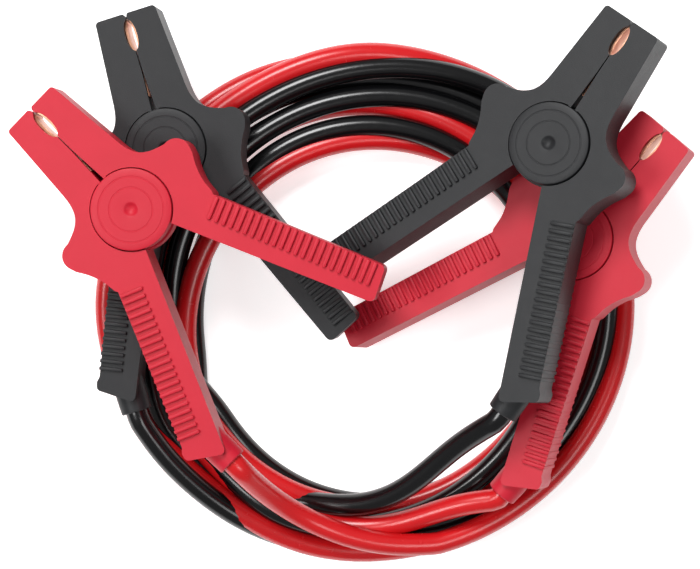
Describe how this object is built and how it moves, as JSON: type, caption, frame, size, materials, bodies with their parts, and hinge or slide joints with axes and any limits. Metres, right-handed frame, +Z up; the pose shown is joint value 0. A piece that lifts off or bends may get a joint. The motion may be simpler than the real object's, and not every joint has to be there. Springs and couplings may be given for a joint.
{
  "type": "jumper cable set",
  "caption": "Red and black car jumper cables wound together in a flat coil, with an insulated sprung clamp on each cable end",
  "frame": {"origin": "on the floor, under the middle of the set's bounding box", "axes": "+X to the right and +Y to the top of the picture, which looks straight down; +Z up from the floor. The clamps point up the picture, away from -Y."},
  "size_m": [0.2671, 0.2224, 0.0799],
  "materials": {
    "red_plastic": "satin moulded",
    "black_plastic": "fine grained, matte",
    "red_cable": "soft vinyl, semi-gloss",
    "black_cable": "soft vinyl, semi-gloss",
    "copper": "bare copper",
    "spring_steel": "drawn wire"
  },
  "bodies": {
    "cables_and_clamp_bodies": {"red_coil": "red_cable", "black_coil": "black_cable", "red_tail_left": "red_cable", "red_tail_right": "red_cable", "black_tail_left": "black_cable", "black_tail_right": "black_cable", "left_red_cable_half": "red_plastic", "left_red_cable_contact": "copper", "left_red_hinge_pin": "red_plastic", "left_red_hinge_cap": "red_plastic", "left_red_spring": "spring_steel", "left_black_cable_half": "black_plastic", "left_black_cable_contact": "copper", "left_black_hinge_pin": "black_plastic", "left_black_hinge_cap": "black_plastic", "left_black_spring": "spring_steel", "right_black_cable_half": "black_plastic", "right_black_cable_contact": "copper", "right_black_hinge_pin": "black_plastic", "right_black_hinge_cap": "black_plastic", "right_black_spring": "spring_steel", "right_red_cable_half": "red_plastic", "right_red_cable_contact": "copper", "right_red_hinge_pin": "red_plastic", "right_red_hinge_cap": "red_plastic", "right_red_spring": "spring_steel"},
    "left_red_lever": {"left_red_lever_half": "red_plastic", "left_red_lever_contact": "copper"},
    "left_black_lever": {"left_black_lever_half": "black_plastic", "left_black_lever_contact": "copper"},
    "right_black_lever": {"right_black_lever_half": "black_plastic", "right_black_lever_contact": "copper"},
    "right_red_lever": {"right_red_lever_half": "red_plastic", "right_red_lever_contact": "copper"}
  },
  "joints": [
    {"name": "left_red_hinge", "type": "hinge", "parent": "cables_and_clamp_bodies", "child": "left_red_lever", "pos_m": [-0.0852, 0.0303, 0.0521], "axis": [0.0844, 0.0129, -0.9963], "range_deg": [0, 30], "stiffness_Nm_per_rad": 2, "springref_deg": -14.32},
    {"name": "left_black_hinge", "type": "hinge", "parent": "cables_and_clamp_bodies", "child": "left_black_lever", "pos_m": [-0.0735, 0.0548, 0.033], "axis": [0.0844, 0.0129, -0.9963], "range_deg": [0, 30], "stiffness_Nm_per_rad": 2, "springref_deg": -14.32},
    {"name": "right_black_hinge", "type": "hinge", "parent": "cables_and_clamp_bodies", "child": "right_black_lever", "pos_m": [0.0771, 0.0547, 0.0586], "axis": [-0.3529, 0.0622, 0.9336], "range_deg": [0, 30], "stiffness_Nm_per_rad": 2, "springref_deg": -14.32},
    {"name": "right_red_hinge", "type": "hinge", "parent": "cables_and_clamp_bodies", "child": "right_red_lever", "pos_m": [0.0875, 0.0188, 0.0376], "axis": [-0.2895, 0.0407, 0.9563], "range_deg": [0, 30], "stiffness_Nm_per_rad": 2, "springref_deg": -14.32}
  ]
}
